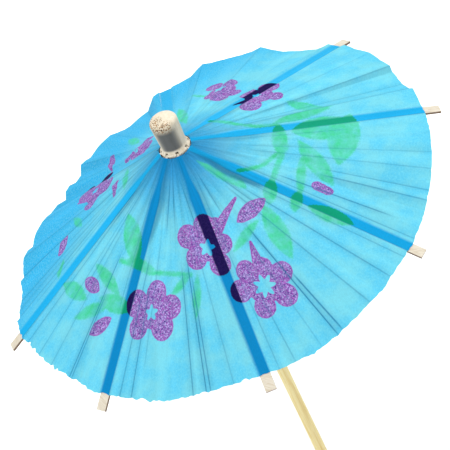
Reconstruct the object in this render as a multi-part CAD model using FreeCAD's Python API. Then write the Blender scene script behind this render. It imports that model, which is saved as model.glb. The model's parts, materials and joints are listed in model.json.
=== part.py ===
import FreeCAD
import Part
import math
import os

# Cocktail parasol with a tissue canopy on eight splint ribs. Millimetres.
# +Z runs up the stick. The origin is on the stick's axis where its point begins.
# A rib is drawn along +X and then turned to its own bearing about the stick.

# Stick
STICK_RADIUS = 1.15
PICK_RADIUS = 1.12
PICK_LENGTH = 30.0
PICK_TAPER_LENGTH = 2.0
POINT_LENGTH = 7.0
POINT_END_RADIUS = 0.22

# Hub, where the ribs hang on a ring of thread
HUB_HEIGHT = 95.0
THREAD_RING_RADIUS = 2.6
THREAD_RADIUS = 0.17
THREAD_GROOVE_DEPTH_RADIUS = 2.38
THREAD_GROOVE_HALF_HEIGHT = 0.22

# Finial
FINIAL_BELOW_HUB = 1.4
FINIAL_ABOVE_HUB = 8.2
FINIAL_CROWN_RADIUS = 3.0
FINIAL_WAIST_RADIUS = 2.55
FINIAL_HEAD_RADIUS = 2.75
FINIAL_CROWN_HEIGHT = 0.5
FINIAL_FLARE_HEIGHT = 1.9
FINIAL_EDGE_ROUND = 0.95
FINIAL_DOME_HEIGHT = 0.5
FINIAL_FLARE_HOLLOW = 0.3
FINIAL_EDGE_BULGE = 0.19
FINIAL_TOP_WALL = 1.8
SLOT_WIDTH = 0.6
SLOT_FLOOR_RADIUS = 1.9
FINIAL_SLOT_ABOVE_HUB = 1.0

# Ribs: hand set, so the gaps are uneven and the open canopy leans on its stick
RIB_BEARINGS = (186.0, 223.5, 269.0, 318.5, 0.5, 39.5, 89.5, 134.5)
OPEN_SLOPES = (30.5, 33.0, 33.5, 27.5, 20.5, 19.0, 24.5, 32.0)
CLOSED_SLOPE = 80.0
RIB_LENGTHS = (49.4, 49.4, 49.4, 49.4, 49.4, 49.4, 46.4, 46.4)
RIB_HALF_WIDTH = 1.05
RIB_HALF_DEPTH = 0.55
BLADE_THICKNESS = 0.45
TONGUE_HALF_WIDTH = 0.25
TONGUE_LENGTH = 3.0
FULL_WIDTH_FROM = 9.0
HINGE_HOLE_RADIUS = 0.25

# Struts: each reaches the runner's thread ring both open and closed
PIN_RADIUS = 0.2
STRUT_HALF_DEPTH = 0.45
STRUT_HALF_WIDTH = 0.75
STRUT_OUTER_TONGUE = 2.5
STRUT_INNER_TONGUE = 3.5
STRUT_SHOULDER = 1.5
SLIT_INNER = 1.5
SLIT_OUTER = 2.5
RAMP_START = 1.0
RAMP_END = 3.0

# Runner, the roll of newsprint above it and the retaining ring below it
RUNNER_DROP_OPEN = 16.0
RUNNER_DROP_CLOSED = 33.6
RUNNER_RADIUS = 3.0
RUNNER_BORE_RADIUS = 1.25
RUNNER_ABOVE_THREAD = 1.4
RUNNER_BELOW_THREAD = 5.5
RUNNER_SLOT_BELOW_THREAD = 3.8
RUNNER_SLOT_FLOOR_RADIUS = 1.6
RUNNER_CHAMFER = 0.3
ROLL_RADIUS = 1.7
RING_RADIUS = 2.0
RING_BORE_RADIUS = 1.2
RING_HEIGHT = 2.5

# Canopy: tissue glued to the top of the ribs
PAPER_START = 0.9
PAPER_LENGTH = 46.2
PAPER_THICKNESS = 0.15
PAPER_CLEARANCE = 0.12
PAPER_STEPS = 6

UP = FreeCAD.Vector(0, 0, 1)
ORIGIN = FreeCAD.Vector(0, 0, 0)
SIDEWAYS = FreeCAD.Vector(0, 1, 0)

runner_height = HUB_HEIGHT - RUNNER_DROP_OPEN


def vector(x, z, y=0.0):
    return FreeCAD.Vector(x, y, z)


def revolved(points, degrees=360.0):
    """Solid turned about the Z axis from a closed outline of (radius, height) points."""
    outline = Part.makePolygon([vector(r, z) for r, z in points + points[:1]])
    return Part.Face(outline).revolve(ORIGIN, UP, degrees)


def tube(outer, inner, bottom, top):
    """Plain sleeve on the stick."""
    return revolved([(inner, bottom), (outer, bottom), (outer, top), (inner, top)])


def thread_ring(height):
    return Part.makeTorus(THREAD_RING_RADIUS, THREAD_RADIUS, vector(0, height), UP)


def thread_groove(height, outer_radius):
    """Cutter for the groove that a ring of thread lies in."""
    low = height - THREAD_GROOVE_HALF_HEIGHT
    high = height + THREAD_GROOVE_HALF_HEIGHT
    return tube(outer_radius + 1.0, THREAD_GROOVE_DEPTH_RADIUS, low, high)


def at_bearing(shape, bearing):
    turned = shape.copy()
    turned.rotate(ORIGIN, UP, bearing)
    return turned


def radial_slots(low, high, inner_radius, outer_radius):
    """One cutter per rib, at the ribs' own bearings."""
    corner = FreeCAD.Vector(inner_radius, -SLOT_WIDTH / 2, low)
    slot = Part.makeBox(outer_radius - inner_radius, SLOT_WIDTH, high - low, corner)
    return [at_bearing(slot, bearing) for bearing in RIB_BEARINGS]


def cross_cylinder(x, z, radius, half_length):
    """Cylinder along Y, for a hinge hole or a pin."""
    return Part.makeCylinder(radius, 2 * half_length, vector(x, z, -half_length), SIDEWAYS)


def extruded_side(edges, half_width):
    """Extrudes a side view, drawn in the XZ plane, to both sides of it."""
    face = Part.Face(Part.Wire(edges))
    face.translate(FreeCAD.Vector(0, -half_width, 0))
    return face.extrude(FreeCAD.Vector(0, 2 * half_width, 0))


def extruded_plan(half_widths, half_depth):
    """Extrudes a plan view, given as (distance, half width) points, up and down."""
    there = [FreeCAD.Vector(s, w, -half_depth) for s, w in half_widths]
    back = [FreeCAD.Vector(s, -w, -half_depth) for s, w in reversed(half_widths)]
    face = Part.Face(Part.makePolygon(there + back + there[:1]))
    return face.extrude(FreeCAD.Vector(0, 0, 2 * half_depth))


def lines(points):
    return [Part.LineSegment(a, b).toShape() for a, b in zip(points, points[1:])]


def stick():
    top = HUB_HEIGHT + FINIAL_ABOVE_HUB - FINIAL_TOP_WALL
    return revolved([
        (0, -POINT_LENGTH),
        (POINT_END_RADIUS, -POINT_LENGTH),
        (PICK_RADIUS, 0),
        (PICK_RADIUS, PICK_LENGTH),
        (STICK_RADIUS, PICK_LENGTH + PICK_TAPER_LENGTH),
        (STICK_RADIUS, top),
        (0, top),
    ])


def finial():
    bottom = HUB_HEIGHT - FINIAL_BELOW_HUB
    top = HUB_HEIGHT + FINIAL_ABOVE_HUB
    crown_edge = vector(FINIAL_CROWN_RADIUS, HUB_HEIGHT + FINIAL_CROWN_HEIGHT)
    flare_end = vector(FINIAL_WAIST_RADIUS, HUB_HEIGHT + FINIAL_FLARE_HEIGHT)
    flare_drop = FINIAL_FLARE_HOLLOW * (crown_edge.x - flare_end.x)
    flare_middle = (crown_edge + flare_end) / 2 - vector(flare_drop, flare_drop)
    dome_rim = vector(FINIAL_HEAD_RADIUS - FINIAL_EDGE_ROUND, top - FINIAL_DOME_HEIGHT)
    head_edge = vector(FINIAL_HEAD_RADIUS, dome_rim.z - FINIAL_EDGE_ROUND)
    round_middle = (head_edge + dome_rim) / 2 + vector(FINIAL_EDGE_BULGE, FINIAL_EDGE_BULGE)
    dome_radius = (dome_rim.x ** 2 + FINIAL_DOME_HEIGHT ** 2) / (2 * FINIAL_DOME_HEIGHT)
    dome_turn = math.asin(dome_rim.x / dome_radius) / 2
    dome_middle = vector(dome_radius * math.sin(dome_turn), top - dome_radius * (1 - math.cos(dome_turn)))
    dome_top = vector(0, top)
    outline = lines([dome_top, vector(0, bottom), vector(FINIAL_CROWN_RADIUS, bottom), crown_edge])
    outline.append(Part.Arc(crown_edge, flare_middle, flare_end).toShape())
    outline += lines([flare_end, head_edge])
    outline.append(Part.Arc(head_edge, round_middle, dome_rim).toShape())
    outline.append(Part.Arc(dome_rim, dome_middle, dome_top).toShape())
    body = Part.Face(Part.Wire(outline)).revolve(ORIGIN, UP, 360)
    bore = Part.makeCylinder(STICK_RADIUS, top - FINIAL_TOP_WALL - bottom, vector(0, bottom), UP)
    slot_top = HUB_HEIGHT + FINIAL_SLOT_ABOVE_HUB
    slots = radial_slots(bottom - 1, slot_top, SLOT_FLOOR_RADIUS, FINIAL_CROWN_RADIUS + 1)
    return body.cut([bore, thread_groove(HUB_HEIGHT, FINIAL_CROWN_RADIUS)] + slots)


def runner():
    bottom = runner_height - RUNNER_BELOW_THREAD
    top = runner_height + RUNNER_ABOVE_THREAD
    body = revolved([
        (RUNNER_BORE_RADIUS, bottom),
        (RUNNER_RADIUS - RUNNER_CHAMFER, bottom),
        (RUNNER_RADIUS, bottom + RUNNER_CHAMFER),
        (RUNNER_RADIUS, top - RUNNER_CHAMFER),
        (RUNNER_RADIUS - RUNNER_CHAMFER, top),
        (RUNNER_BORE_RADIUS, top),
    ])
    low = runner_height - RUNNER_SLOT_BELOW_THREAD
    slots = radial_slots(low, top + 1, RUNNER_SLOT_FLOOR_RADIUS, RUNNER_RADIUS + 1)
    return body.cut([thread_groove(runner_height, RUNNER_RADIUS)] + slots)


def runner_thread():
    """The thread lies in the groove between the slots; each strut carries its own short bit of it."""
    low = runner_height - 1
    high = runner_height + 1
    gaps = radial_slots(low, high, RUNNER_SLOT_FLOOR_RADIUS, RUNNER_RADIUS + 1)
    return thread_ring(runner_height).cut(gaps)


def pivot_distance(open_slope):
    """Distance from hinge to strut pivot that lets one strut length suit both ends of the travel."""
    closed = RUNNER_DROP_CLOSED * math.sin(math.radians(CLOSED_SLOPE))
    opened = RUNNER_DROP_OPEN * math.sin(math.radians(open_slope))
    return (RUNNER_DROP_CLOSED ** 2 - RUNNER_DROP_OPEN ** 2) / (2 * (closed - opened))


def open_pivot(open_slope):
    """The strut pivot on the open rib at bearing 0."""
    distance = pivot_distance(open_slope)
    turn = math.radians(open_slope)
    return vector(THREAD_RING_RADIUS + distance * math.cos(turn), HUB_HEIGHT - distance * math.sin(turn))


def placed_on_rib(shape, open_slope):
    """Moves a shape drawn along X from the hinge to the open rib at bearing 0."""
    placed = shape.copy()
    placed.rotate(ORIGIN, SIDEWAYS, open_slope)
    placed.translate(vector(THREAD_RING_RADIUS, HUB_HEIGHT))
    return placed


def rib(open_slope, length):
    pivot = pivot_distance(open_slope)
    under_blade = RIB_HALF_DEPTH - BLADE_THICKNESS
    top_start = vector(0, RIB_HALF_DEPTH)
    bottom_start = vector(0, -RIB_HALF_DEPTH)
    edges = [Part.Arc(top_start, vector(-RIB_HALF_DEPTH, 0), bottom_start).toShape()]
    edges += lines([
        bottom_start,
        vector(pivot + RAMP_START, -RIB_HALF_DEPTH),
        vector(pivot + RAMP_END, under_blade),
        vector(length, under_blade),
        vector(length, RIB_HALF_DEPTH),
        top_start,
    ])
    plan = extruded_plan(
        [
            (-1.0, TONGUE_HALF_WIDTH),
            (TONGUE_LENGTH, TONGUE_HALF_WIDTH),
            (FULL_WIDTH_FROM, RIB_HALF_WIDTH),
            (length + 1.0, RIB_HALF_WIDTH),
        ],
        2 * RIB_HALF_DEPTH,
    )
    body = extruded_side(edges, RIB_HALF_WIDTH).common(plan)
    slit_corner = vector(pivot - SLIT_INNER, -2 * RIB_HALF_DEPTH, -SLOT_WIDTH / 2)
    slit = Part.makeBox(SLIT_INNER + SLIT_OUTER, SLOT_WIDTH, 4 * RIB_HALF_DEPTH, slit_corner)
    hinge_hole = cross_cylinder(0, 0, HINGE_HOLE_RADIUS, 2 * RIB_HALF_WIDTH)
    pin_hole = cross_cylinder(pivot, 0, PIN_RADIUS, 2 * RIB_HALF_WIDTH)
    return placed_on_rib(body.cut([slit, hinge_hole, pin_hole]), open_slope)


def rib_pin(open_slope):
    pin = cross_cylinder(pivot_distance(open_slope), 0, PIN_RADIUS, RIB_HALF_WIDTH)
    return placed_on_rib(pin, open_slope)


def strut_and_tie(open_slope):
    """The strut, drawn along X from the rib's pivot, and the bit of thread in its inner end."""
    pivot = open_pivot(open_slope)
    reach = pivot.x - THREAD_RING_RADIUS
    drop = pivot.z - runner_height
    length = math.hypot(reach, drop)
    h = STRUT_HALF_DEPTH
    near_top, near_bottom = vector(0, h), vector(0, -h)
    far_top, far_bottom = vector(length, h), vector(length, -h)
    edges = [
        Part.Arc(near_top, vector(-h, 0), near_bottom).toShape(),
        Part.LineSegment(near_bottom, far_bottom).toShape(),
        Part.Arc(far_bottom, vector(length + h, 0), far_top).toShape(),
        Part.LineSegment(far_top, near_top).toShape(),
    ]
    inner = length - STRUT_INNER_TONGUE
    plan = extruded_plan(
        [
            (-1.0, TONGUE_HALF_WIDTH),
            (STRUT_OUTER_TONGUE, TONGUE_HALF_WIDTH),
            (STRUT_OUTER_TONGUE + STRUT_SHOULDER, STRUT_HALF_WIDTH),
            (inner - STRUT_SHOULDER, STRUT_HALF_WIDTH),
            (inner, TONGUE_HALF_WIDTH),
            (length + 1.0, TONGUE_HALF_WIDTH),
        ],
        2 * h,
    )
    body = extruded_side(edges, STRUT_HALF_WIDTH).common(plan)
    pin_hole = cross_cylinder(0, 0, HINGE_HOLE_RADIUS, 1.0)
    tie_hole = cross_cylinder(length, 0, THREAD_RADIUS, 1.0)
    tie = cross_cylinder(length, 0, THREAD_RADIUS, TONGUE_HALF_WIDTH)
    placed = [body.cut([pin_hole, tie_hole]), tie]
    for shape in placed:
        shape.rotate(ORIGIN, SIDEWAYS, 180 - math.degrees(math.atan2(drop, reach)))
        shape.translate(pivot)
    return placed


def paper_point(index, side, step, along, above):
    """A point of the tissue, a few steps from a rib towards the middle of the gap on one side."""
    other = (index + side) % len(RIB_BEARINGS)
    gap = (side * (RIB_BEARINGS[other] - RIB_BEARINGS[index])) % 360
    share = step / (2 * PAPER_STEPS)
    ease = share * share * (3 - 2 * share)
    turn = math.radians(OPEN_SLOPES[index] + (OPEN_SLOPES[other] - OPEN_SLOPES[index]) * ease)
    bearing = math.radians(RIB_BEARINGS[index] + side * gap * share)
    lift = RIB_HALF_DEPTH + PAPER_CLEARANCE + above
    radius = THREAD_RING_RADIUS + along * math.cos(turn) + lift * math.sin(turn)
    height = HUB_HEIGHT - along * math.sin(turn) + lift * math.cos(turn)
    return FreeCAD.Vector(radius * math.cos(bearing), radius * math.sin(bearing), height)


def canopy_panel(index):
    """The tissue glued to one rib, out to the middle of the gap on each side of it."""
    stations = [(-1, step) for step in range(PAPER_STEPS, 0, -1)]
    stations += [(1, step) for step in range(PAPER_STEPS + 1)]
    corners = ((PAPER_START, 0), (PAPER_LENGTH, 0), (PAPER_LENGTH, PAPER_THICKNESS), (PAPER_START, PAPER_THICKNESS))
    rings = [[paper_point(index, side, step, *corner) for corner in corners] for side, step in stations]
    triangles = []
    for ring, following in zip(rings, rings[1:]):
        for a, b, c, d in zip(ring, ring[1:] + ring[:1], following[1:] + following[:1], following):
            triangles += [(a, b, c), (a, c, d)]
    for a, b, c, d in (rings[0], rings[-1]):
        triangles += [(a, b, c), (a, c, d)]
    faces = [Part.Face(Part.makePolygon(list(triangle) + [triangle[0]])) for triangle in triangles]
    shell = Part.makeShell(faces)
    shell.sewShape()
    solid = Part.makeSolid(shell)
    return solid if solid.Volume > 0 else solid.reversed()


def save(name, shape):
    if not shape.isValid():
        raise ValueError(name + " is not a valid shape")
    solids = shape.Solids
    kept = solids[0] if len(solids) == 1 else Part.makeCompound(solids)
    kept.exportStep(os.path.join("parts", name + ".step"))
    print(name, "solids", len(solids), "volume", round(shape.Volume, 3))


def main():
    os.makedirs("parts", exist_ok=True)
    runner_bottom = runner_height - RUNNER_BELOW_THREAD
    save("stick", stick())
    save("finial", finial())
    save("hub_thread", thread_ring(HUB_HEIGHT))
    roll_bottom = runner_height + RUNNER_ABOVE_THREAD
    save("newsprint_roll", tube(ROLL_RADIUS, STICK_RADIUS, roll_bottom, HUB_HEIGHT - FINIAL_BELOW_HUB))
    save("runner", runner())
    save("runner_thread", runner_thread())
    save("retaining_ring", tube(RING_RADIUS, RING_BORE_RADIUS, runner_bottom - RING_HEIGHT, runner_bottom))
    for index, (bearing, open_slope, length) in enumerate(zip(RIB_BEARINGS, OPEN_SLOPES, RIB_LENGTHS)):
        number = str(index + 1)
        brace, tie = strut_and_tie(open_slope)
        save("rib_" + number, at_bearing(rib(open_slope, length), bearing))
        save("rib_pin_" + number, at_bearing(rib_pin(open_slope), bearing))
        save("strut_" + number, at_bearing(brace, bearing))
        save("strut_tie_" + number, at_bearing(tie, bearing))
        save("canopy_panel_" + number, canopy_panel(index))


main()
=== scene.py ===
import json
import math

import bpy
import numpy as np
from mathutils import Matrix, Vector


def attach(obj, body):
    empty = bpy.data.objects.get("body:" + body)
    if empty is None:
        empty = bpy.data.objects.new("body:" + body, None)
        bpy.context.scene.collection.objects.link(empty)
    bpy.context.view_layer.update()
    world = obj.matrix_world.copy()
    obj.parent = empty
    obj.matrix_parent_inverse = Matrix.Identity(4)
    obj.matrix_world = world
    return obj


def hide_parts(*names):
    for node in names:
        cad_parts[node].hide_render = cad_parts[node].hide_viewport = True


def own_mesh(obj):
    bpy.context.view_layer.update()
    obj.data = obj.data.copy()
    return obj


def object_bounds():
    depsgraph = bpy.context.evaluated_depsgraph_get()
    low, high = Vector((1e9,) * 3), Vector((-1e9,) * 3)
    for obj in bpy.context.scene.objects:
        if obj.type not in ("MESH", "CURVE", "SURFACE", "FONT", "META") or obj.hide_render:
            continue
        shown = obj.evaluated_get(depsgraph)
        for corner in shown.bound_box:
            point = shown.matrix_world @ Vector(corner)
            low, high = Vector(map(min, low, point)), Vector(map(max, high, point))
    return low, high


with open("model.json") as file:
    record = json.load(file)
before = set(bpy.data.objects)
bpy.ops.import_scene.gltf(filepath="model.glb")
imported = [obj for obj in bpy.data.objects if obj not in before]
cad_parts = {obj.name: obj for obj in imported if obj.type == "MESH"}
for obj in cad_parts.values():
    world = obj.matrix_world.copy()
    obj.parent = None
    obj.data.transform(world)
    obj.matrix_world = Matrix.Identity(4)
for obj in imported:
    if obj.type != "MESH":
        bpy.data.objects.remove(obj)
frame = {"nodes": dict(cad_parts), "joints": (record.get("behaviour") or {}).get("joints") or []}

# Cocktail parasol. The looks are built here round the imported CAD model.
# Lengths in this script are millimetres unless a name says otherwise, and MM turns them into metres.
MM = 0.001
cad_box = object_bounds()
joints = {joint["name"]: joint for joint in frame["joints"]}
RIBS = range(8)

# The tissue: glued along the top of each rib, and free between them. Its start and end are distances
# along a rib from its hinge.
PAPER_START = 0.35
PAPER_END = 46.2
PAPER_LIFT = 0.61
PAPER_THICKNESS = 0.07
STRIP_SHARE_AT_HUB = 0.92
STRIP_HALF_WIDTH_AT_RIM = 1.3
ROWS = 132
SIDE_COLUMNS = 60
STRIP_COLUMNS = 8
CLOSED_SLOPE = math.radians(80)
SHARP_EDGE = math.radians(50)
# The row, as a share of the way to the rim, at which gather works out where a closed side piece would meet its
# neighbour
GATHER_ROW_SHARE = 0.8

# Ribs under the tissue, for the painted shade in bands over them, where each rib keeps light from coming
# through the tissue. The last two rows are, for each rib, how plainly its band of painted shade shows and how
# deep its blue is.
RIB_TONGUE_END = 3.0
RIB_FULL_WIDTH_FROM = 9.0
RIB_TONGUE_HALF = 0.25
RIB_HALF = 1.05
SHOWN_HALF_AT_HUB = 0.55
BACK_EDGE_SOFTNESS = 0.5
RIB_SHADE_SHOWN = (0.95, 1.0, 1.0, 1.0, 0.95, 0.85, 0.6, 0.4)
RIB_SHADE_DEPTH = (0.0, 1.0, 1.0, 0.42, 0.08, 0.0, 0.0, 0.0)

# Painted shade round the finial, where the folds crowd: how much it darkens the tissue at the front and at the
# back
HUB_SHADE_END = 15.0
HUB_SHADE_FRONT = 0.9
HUB_SHADE_BACK = 0.55

# Folds: for the gap after each rib, (share of the gap, height at the rim).
FOLDS = (
    ((0.11, -0.3), (0.19, 0.1), (0.28, -0.35), (0.36, 0.1), (0.44, -0.3), (0.5, 0.0), (0.57, 0.25),
     (0.645, -0.3), (0.68, 0.2), (0.73, -0.25), (0.84, 0.15), (0.92, -0.1)),
    ((0.07, -0.2), (0.11, 0.15), (0.18, -0.3), (0.25, 0.25), (0.34, -0.2), (0.43, 0.15), (0.5, 0.0),
     (0.57, -0.35), (0.604, 0.2), (0.65, -0.3), (0.68, 0.25), (0.815, -0.25), (0.91, 0.1)),
    ((0.08, -0.25), (0.17, 0.25), (0.24, -0.1), (0.32, 0.3), (0.42, -0.3), (0.45, 0.3), (0.5, 0.1),
     (0.55, -0.2), (0.636, 0.3), (0.71, -0.25), (0.8, 0.3), (0.87, -0.15), (0.93, 0.15)),
    ((0.07, -0.2), (0.155, 0.2), (0.274, -0.35), (0.33, 0.3), (0.41, -0.35), (0.5, 0.1), (0.54, 0.25),
     (0.667, -0.25), (0.8, 0.25), (0.89, -0.2)),
    ((0.09, 0.0), (0.205, 0.9), (0.256, -0.1), (0.346, -0.75), (0.474, -0.1), (0.5, 0.9), (0.6, 0.7),
     (0.705, 1.05), (0.833, 0.5), (0.93, 0.6)),
    ((0.05, 0.1), (0.09, -0.7), (0.13, -1.25), (0.23, -1.45), (0.33, -1.0), (0.39, -0.1), (0.446, 1.05),
     (0.5, 0.65), (0.57, 0.75), (0.65, 1.1), (0.73, 1.55), (0.77, 1.95), (0.81, 1.3), (0.85, 0.55),
     (0.9, 0.35), (0.96, 0.2)),
    ((0.04, 0.2), (0.08, 0.0), (0.144, -2.0), (0.28, -2.1), (0.32, -1.8), (0.37, -1.1), (0.41, -0.4),
     (0.5, 0.05), (0.59, -0.05), (0.63, 0.5), (0.667, 0.75), (0.71, -0.55), (0.77, -0.5), (0.81, 0.25),
     (0.856, 0.2), (0.9, -0.9), (0.94, -0.3)),
    ((0.068, 0.3), (0.107, 0.45), (0.184, 0.3), (0.24, -0.15), (0.29, -0.7), (0.32, 0.0), (0.38, 0.15),
     (0.44, -0.5), (0.5, -1.35), (0.54, -0.9), (0.61, -1.7), (0.69, -1.75), (0.77, -1.3), (0.845, -0.95),
     (0.88, -0.25), (0.95, -0.1)),
)
FOLD_GROWTH = 1.4

# Painted shade along the crease lines: for the gap after each rib, (share of the gap, from, to, darkness)
CREASES = (
    ((0.11, 4, 47, 0.5), (0.28, 8, 47, 0.4), (0.44, 14, 47, 0.35), (0.645, 18, 47, 0.8), (0.68, 26, 47, 0.7),
     (0.36, 3, 30, 0.5), (0.92, 3, 30, 0.4)),
    ((0.11, 18, 47, 0.6), (0.18, 22, 47, 0.7), (0.25, 14, 40, 0.35), (0.57, 20, 47, 0.7), (0.65, 18, 47, 0.8),
     (0.68, 22, 47, 0.7), (0.815, 8, 47, 0.35), (0.34, 3, 14, 0.7), (0.5, 3, 12, 0.6), (0.91, 3, 16, 0.6)),
    ((0.08, 3, 46, 0.4), (0.17, 26, 47, 0.45), (0.32, 20, 47, 0.35), (0.42, 18, 47, 0.9), (0.45, 30, 47, 0.9),
     (0.636, 10, 47, 0.5), (0.8, 12, 47, 0.6), (0.24, 3, 14, 0.6), (0.71, 3, 18, 0.5), (0.93, 10, 47, 0.45)),
    ((0.07, 8, 47, 0.5), (0.155, 16, 40, 0.75), (0.33, 24, 47, 0.6), (0.41, 24, 47, 0.5), (0.54, 10, 47, 0.35),
     (0.667, 8, 47, 0.3), (0.89, 5, 30, 0.3)),
    ((0.256, 8, 47, 0.55), (0.346, 10, 47, 0.3), (0.5, 14, 47, 0.3), (0.705, 12, 47, 0.25), (0.09, 5, 30, 0.3)),
    ((0.446, 14, 47, 0.3), (0.77, 10, 47, 0.35), (0.23, 12, 47, 0.15)),
    ((0.144, 4, 47, 0.3), (0.41, 10, 47, 0.2), (0.667, 14, 47, 0.3), (0.81, 10, 47, 0.3)),
    ((0.107, 6, 47, 0.3), (0.29, 14, 47, 0.5), (0.38, 6, 47, 0.4), (0.5, 12, 47, 0.75), (0.61, 5, 30, 0.4),
     (0.69, 16, 47, 0.55), (0.77, 5, 47, 0.4), (0.845, 14, 47, 0.85), (0.92, 4, 40, 0.4)),
)
CREASE_FADE = 5.0
FAR_FROM_CREASE = 5.0

# Rim: (bearing in degrees, extra length), with small frayed nicks on top
RIM_WAVE = (
    (0, 0.0), (187, 0.0), (191, -0.6), (214, -0.55), (218, 0.1), (232, 0.1), (238, 0.5), (244, 0.4),
    (250, 0.0), (264, -0.4), (271, 0.0), (278, 0.5), (283, 0.95), (288, 0.75), (300, 0.6), (306, 0.8),
    (312, 0.35), (318, 0.5), (324, 0.3), (332, 0.0), (350, -0.2), (360, 0.0),
)
NICK_DEPTH = ((0, 0.12), (150, 0.2), (190, 0.6), (262, 0.6), (300, 0.35), (330, 0.2), (360, 0.12))
NICK_SPACING_DEGREES = 0.8

# How dark the painted shade beside each rib is, where its strut lies close under the open tissue and keeps
# light from coming through
STRUT_SHADE = (0.3, 0.6, 0.2, 1.0, 0.2, 0.1, 0.1, 0.2)
STRUT_SHADE_END = 19.0
STRUT_SHADE_WIDTH = 0.75


def smooth(x):
    x = np.clip(x, 0.0, 1.0)
    return x * x * (3 - 2 * x)


def rib_facts(index):
    """Bearing, open slope, hinge place and radius of one rib, from the joints."""
    hinge = Vector(joints[f"rib_hinge_{index + 1}"]["pos_m"]) / MM
    pivot = Vector(joints[f"strut_pivot_{index + 1}"]["pos_m"]) / MM
    bearing = math.atan2(hinge.y, hinge.x) % (2 * math.pi)
    reach = math.hypot(pivot.x, pivot.y) - math.hypot(hinge.x, hinge.y)
    slope = math.atan2(hinge.z - pivot.z, reach)
    radius = math.hypot(hinge.x, hinge.y)
    return {"bearing": bearing, "slope": slope, "hinge": np.array(hinge), "radius": radius}


ribs = [rib_facts(index) for index in RIBS]
hub_height = ribs[0]["hinge"][2]
hinge_radius = ribs[0]["radius"]


def gap_after(index):
    return (ribs[(index + 1) % 8]["bearing"] - ribs[index]["bearing"]) % (2 * math.pi)


def directions(bearing, slope):
    """Unit vectors out along a rib, across it and out of the tissue's face."""
    along = np.stack([np.cos(slope) * np.cos(bearing), np.cos(slope) * np.sin(bearing), -np.sin(slope)], -1)
    across = np.stack([-np.sin(bearing), np.cos(bearing), 0 * bearing], -1)
    out = np.stack([np.sin(slope) * np.cos(bearing), np.sin(slope) * np.sin(bearing), np.cos(slope)], -1)
    return along, across, out


def cone_point(bearing, slope, along, lift):
    radius = hinge_radius + along * np.cos(slope) + lift * np.sin(slope)
    height = hub_height - along * np.sin(slope) + lift * np.cos(slope)
    return np.stack([radius * np.cos(bearing), radius * np.sin(bearing), height], -1)


def strip_half_width(index, side, along):
    """Half the glued strip's width. At the hub the strips all but meet, so the folds start from one point."""
    slope = ribs[index]["slope"]
    hub_radius = hinge_radius + PAPER_START * math.cos(slope) + PAPER_LIFT * math.sin(slope)
    gap_angle = gap_after(index if side > 0 else (index - 1) % 8)
    at_hub = STRIP_SHARE_AT_HUB * hub_radius * math.tan(gap_angle / 2)
    return at_hub + (STRIP_HALF_WIDTH_AT_RIM - at_hub) * along / PAPER_END


def rib_half_width(along):
    share = (along - RIB_TONGUE_END) / (RIB_FULL_WIDTH_FROM - RIB_TONGUE_END)
    width = RIB_TONGUE_HALF + (RIB_HALF - RIB_TONGUE_HALF) * np.clip(share, 0, 1)
    return np.maximum(width, SHOWN_HALF_AT_HUB)


def rib_point(index, along, sideways, lift):
    """A point of the flat strip glued to a rib."""
    rib = ribs[index]
    d, t, n = directions(np.float64(rib["bearing"]), np.float64(rib["slope"]))
    along, sideways, lift = (np.asarray(x)[..., None] for x in (along, sideways, lift))
    return rib["hinge"] + along * d + sideways * t + lift * n


nick_count = round(360 / NICK_SPACING_DEGREES)
nicks = np.random.default_rng(8).random(nick_count) ** 3
tufts = np.random.default_rng(9).random(nick_count) ** 4


def rim_extra(bearing):
    """How much longer or shorter than its even length the tissue is at a bearing."""
    degrees = np.degrees(bearing) % 360
    wave = np.interp(degrees, *zip(*RIM_WAVE))
    place = degrees / NICK_SPACING_DEGREES
    at = np.arange(nick_count + 1)
    cut = np.interp(place, at, np.append(nicks, nicks[0]))
    tuft = np.interp(place, at, np.append(tufts, tufts[0]))
    return wave + np.interp(degrees, *zip(*NICK_DEPTH)) * (0.5 * tuft - cut)


def stretched(along, bearing):
    """Takes the rim's waves and nicks up in the last rows before the rim."""
    share = (along - PAPER_START) / (PAPER_END - PAPER_START)
    return along + rim_extra(bearing) * share ** 8


def fold_height(gap, share, along):
    shares, heights = zip(*FOLDS[gap])
    shares = (0.03,) + shares + (0.97,)
    heights = (0.0,) + heights + (0.0,)
    growth = np.clip(along / PAPER_END, 0, 1.1) ** FOLD_GROWTH
    return np.interp(share, shares, heights) * growth


def crease_field(gap, share, along, gap_angle):
    """Distance to the nearest crease line, and how dark the painted shade along that line is."""
    nearest = np.full(share.shape, FAR_FROM_CREASE)
    darkness = np.zeros(share.shape)
    width = (hinge_radius + along) * gap_angle * 0.9
    for at, start, end, strength in CREASES[gap]:
        distance = np.abs(share - at) * width
        begun = smooth((along - start) / CREASE_FADE)
        here = strength * begun * smooth((end + 1 - along) / CREASE_FADE + 0.3)
        closer = distance < nearest
        darkness = np.where(closer, here, darkness)
        nearest = np.where(closer, distance, nearest)
    return nearest, darkness


# The print. Every shape is a signed distance in the flat sheet, in millimetres, below 0 inside.
# The flat sheet's centre is the hub: x is to the right and -y is the side nearest the front.

def disc(p, centre, radius):
    return np.hypot(p[0] - centre[0], p[1] - centre[1]) - radius


def leaf(p, start, end, half_width):
    """A lens with its points at start and end."""
    ux, uy = end[0] - start[0], end[1] - start[1]
    length = math.hypot(ux, uy)
    ux, uy = ux / length, uy / length
    mx, my = (start[0] + end[0]) / 2, (start[1] + end[1]) / 2
    u = (p[0] - mx) * ux + (p[1] - my) * uy
    v = np.abs((p[1] - my) * ux - (p[0] - mx) * uy)
    radius = (length ** 2 / 4 + half_width ** 2) / (2 * half_width)
    return np.hypot(u, v + radius - half_width) - radius


def taper(p, start, end, start_radius, end_radius):
    """A round-ended stroke that narrows from one end to the other."""
    ux, uy = end[0] - start[0], end[1] - start[1]
    share = ((p[0] - start[0]) * ux + (p[1] - start[1]) * uy) / (ux * ux + uy * uy)
    share = np.clip(share, 0, 1)
    distance = np.hypot(p[0] - start[0] - share * ux, p[1] - start[1] - share * uy)
    return distance - start_radius - (end_radius - start_radius) * share


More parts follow.
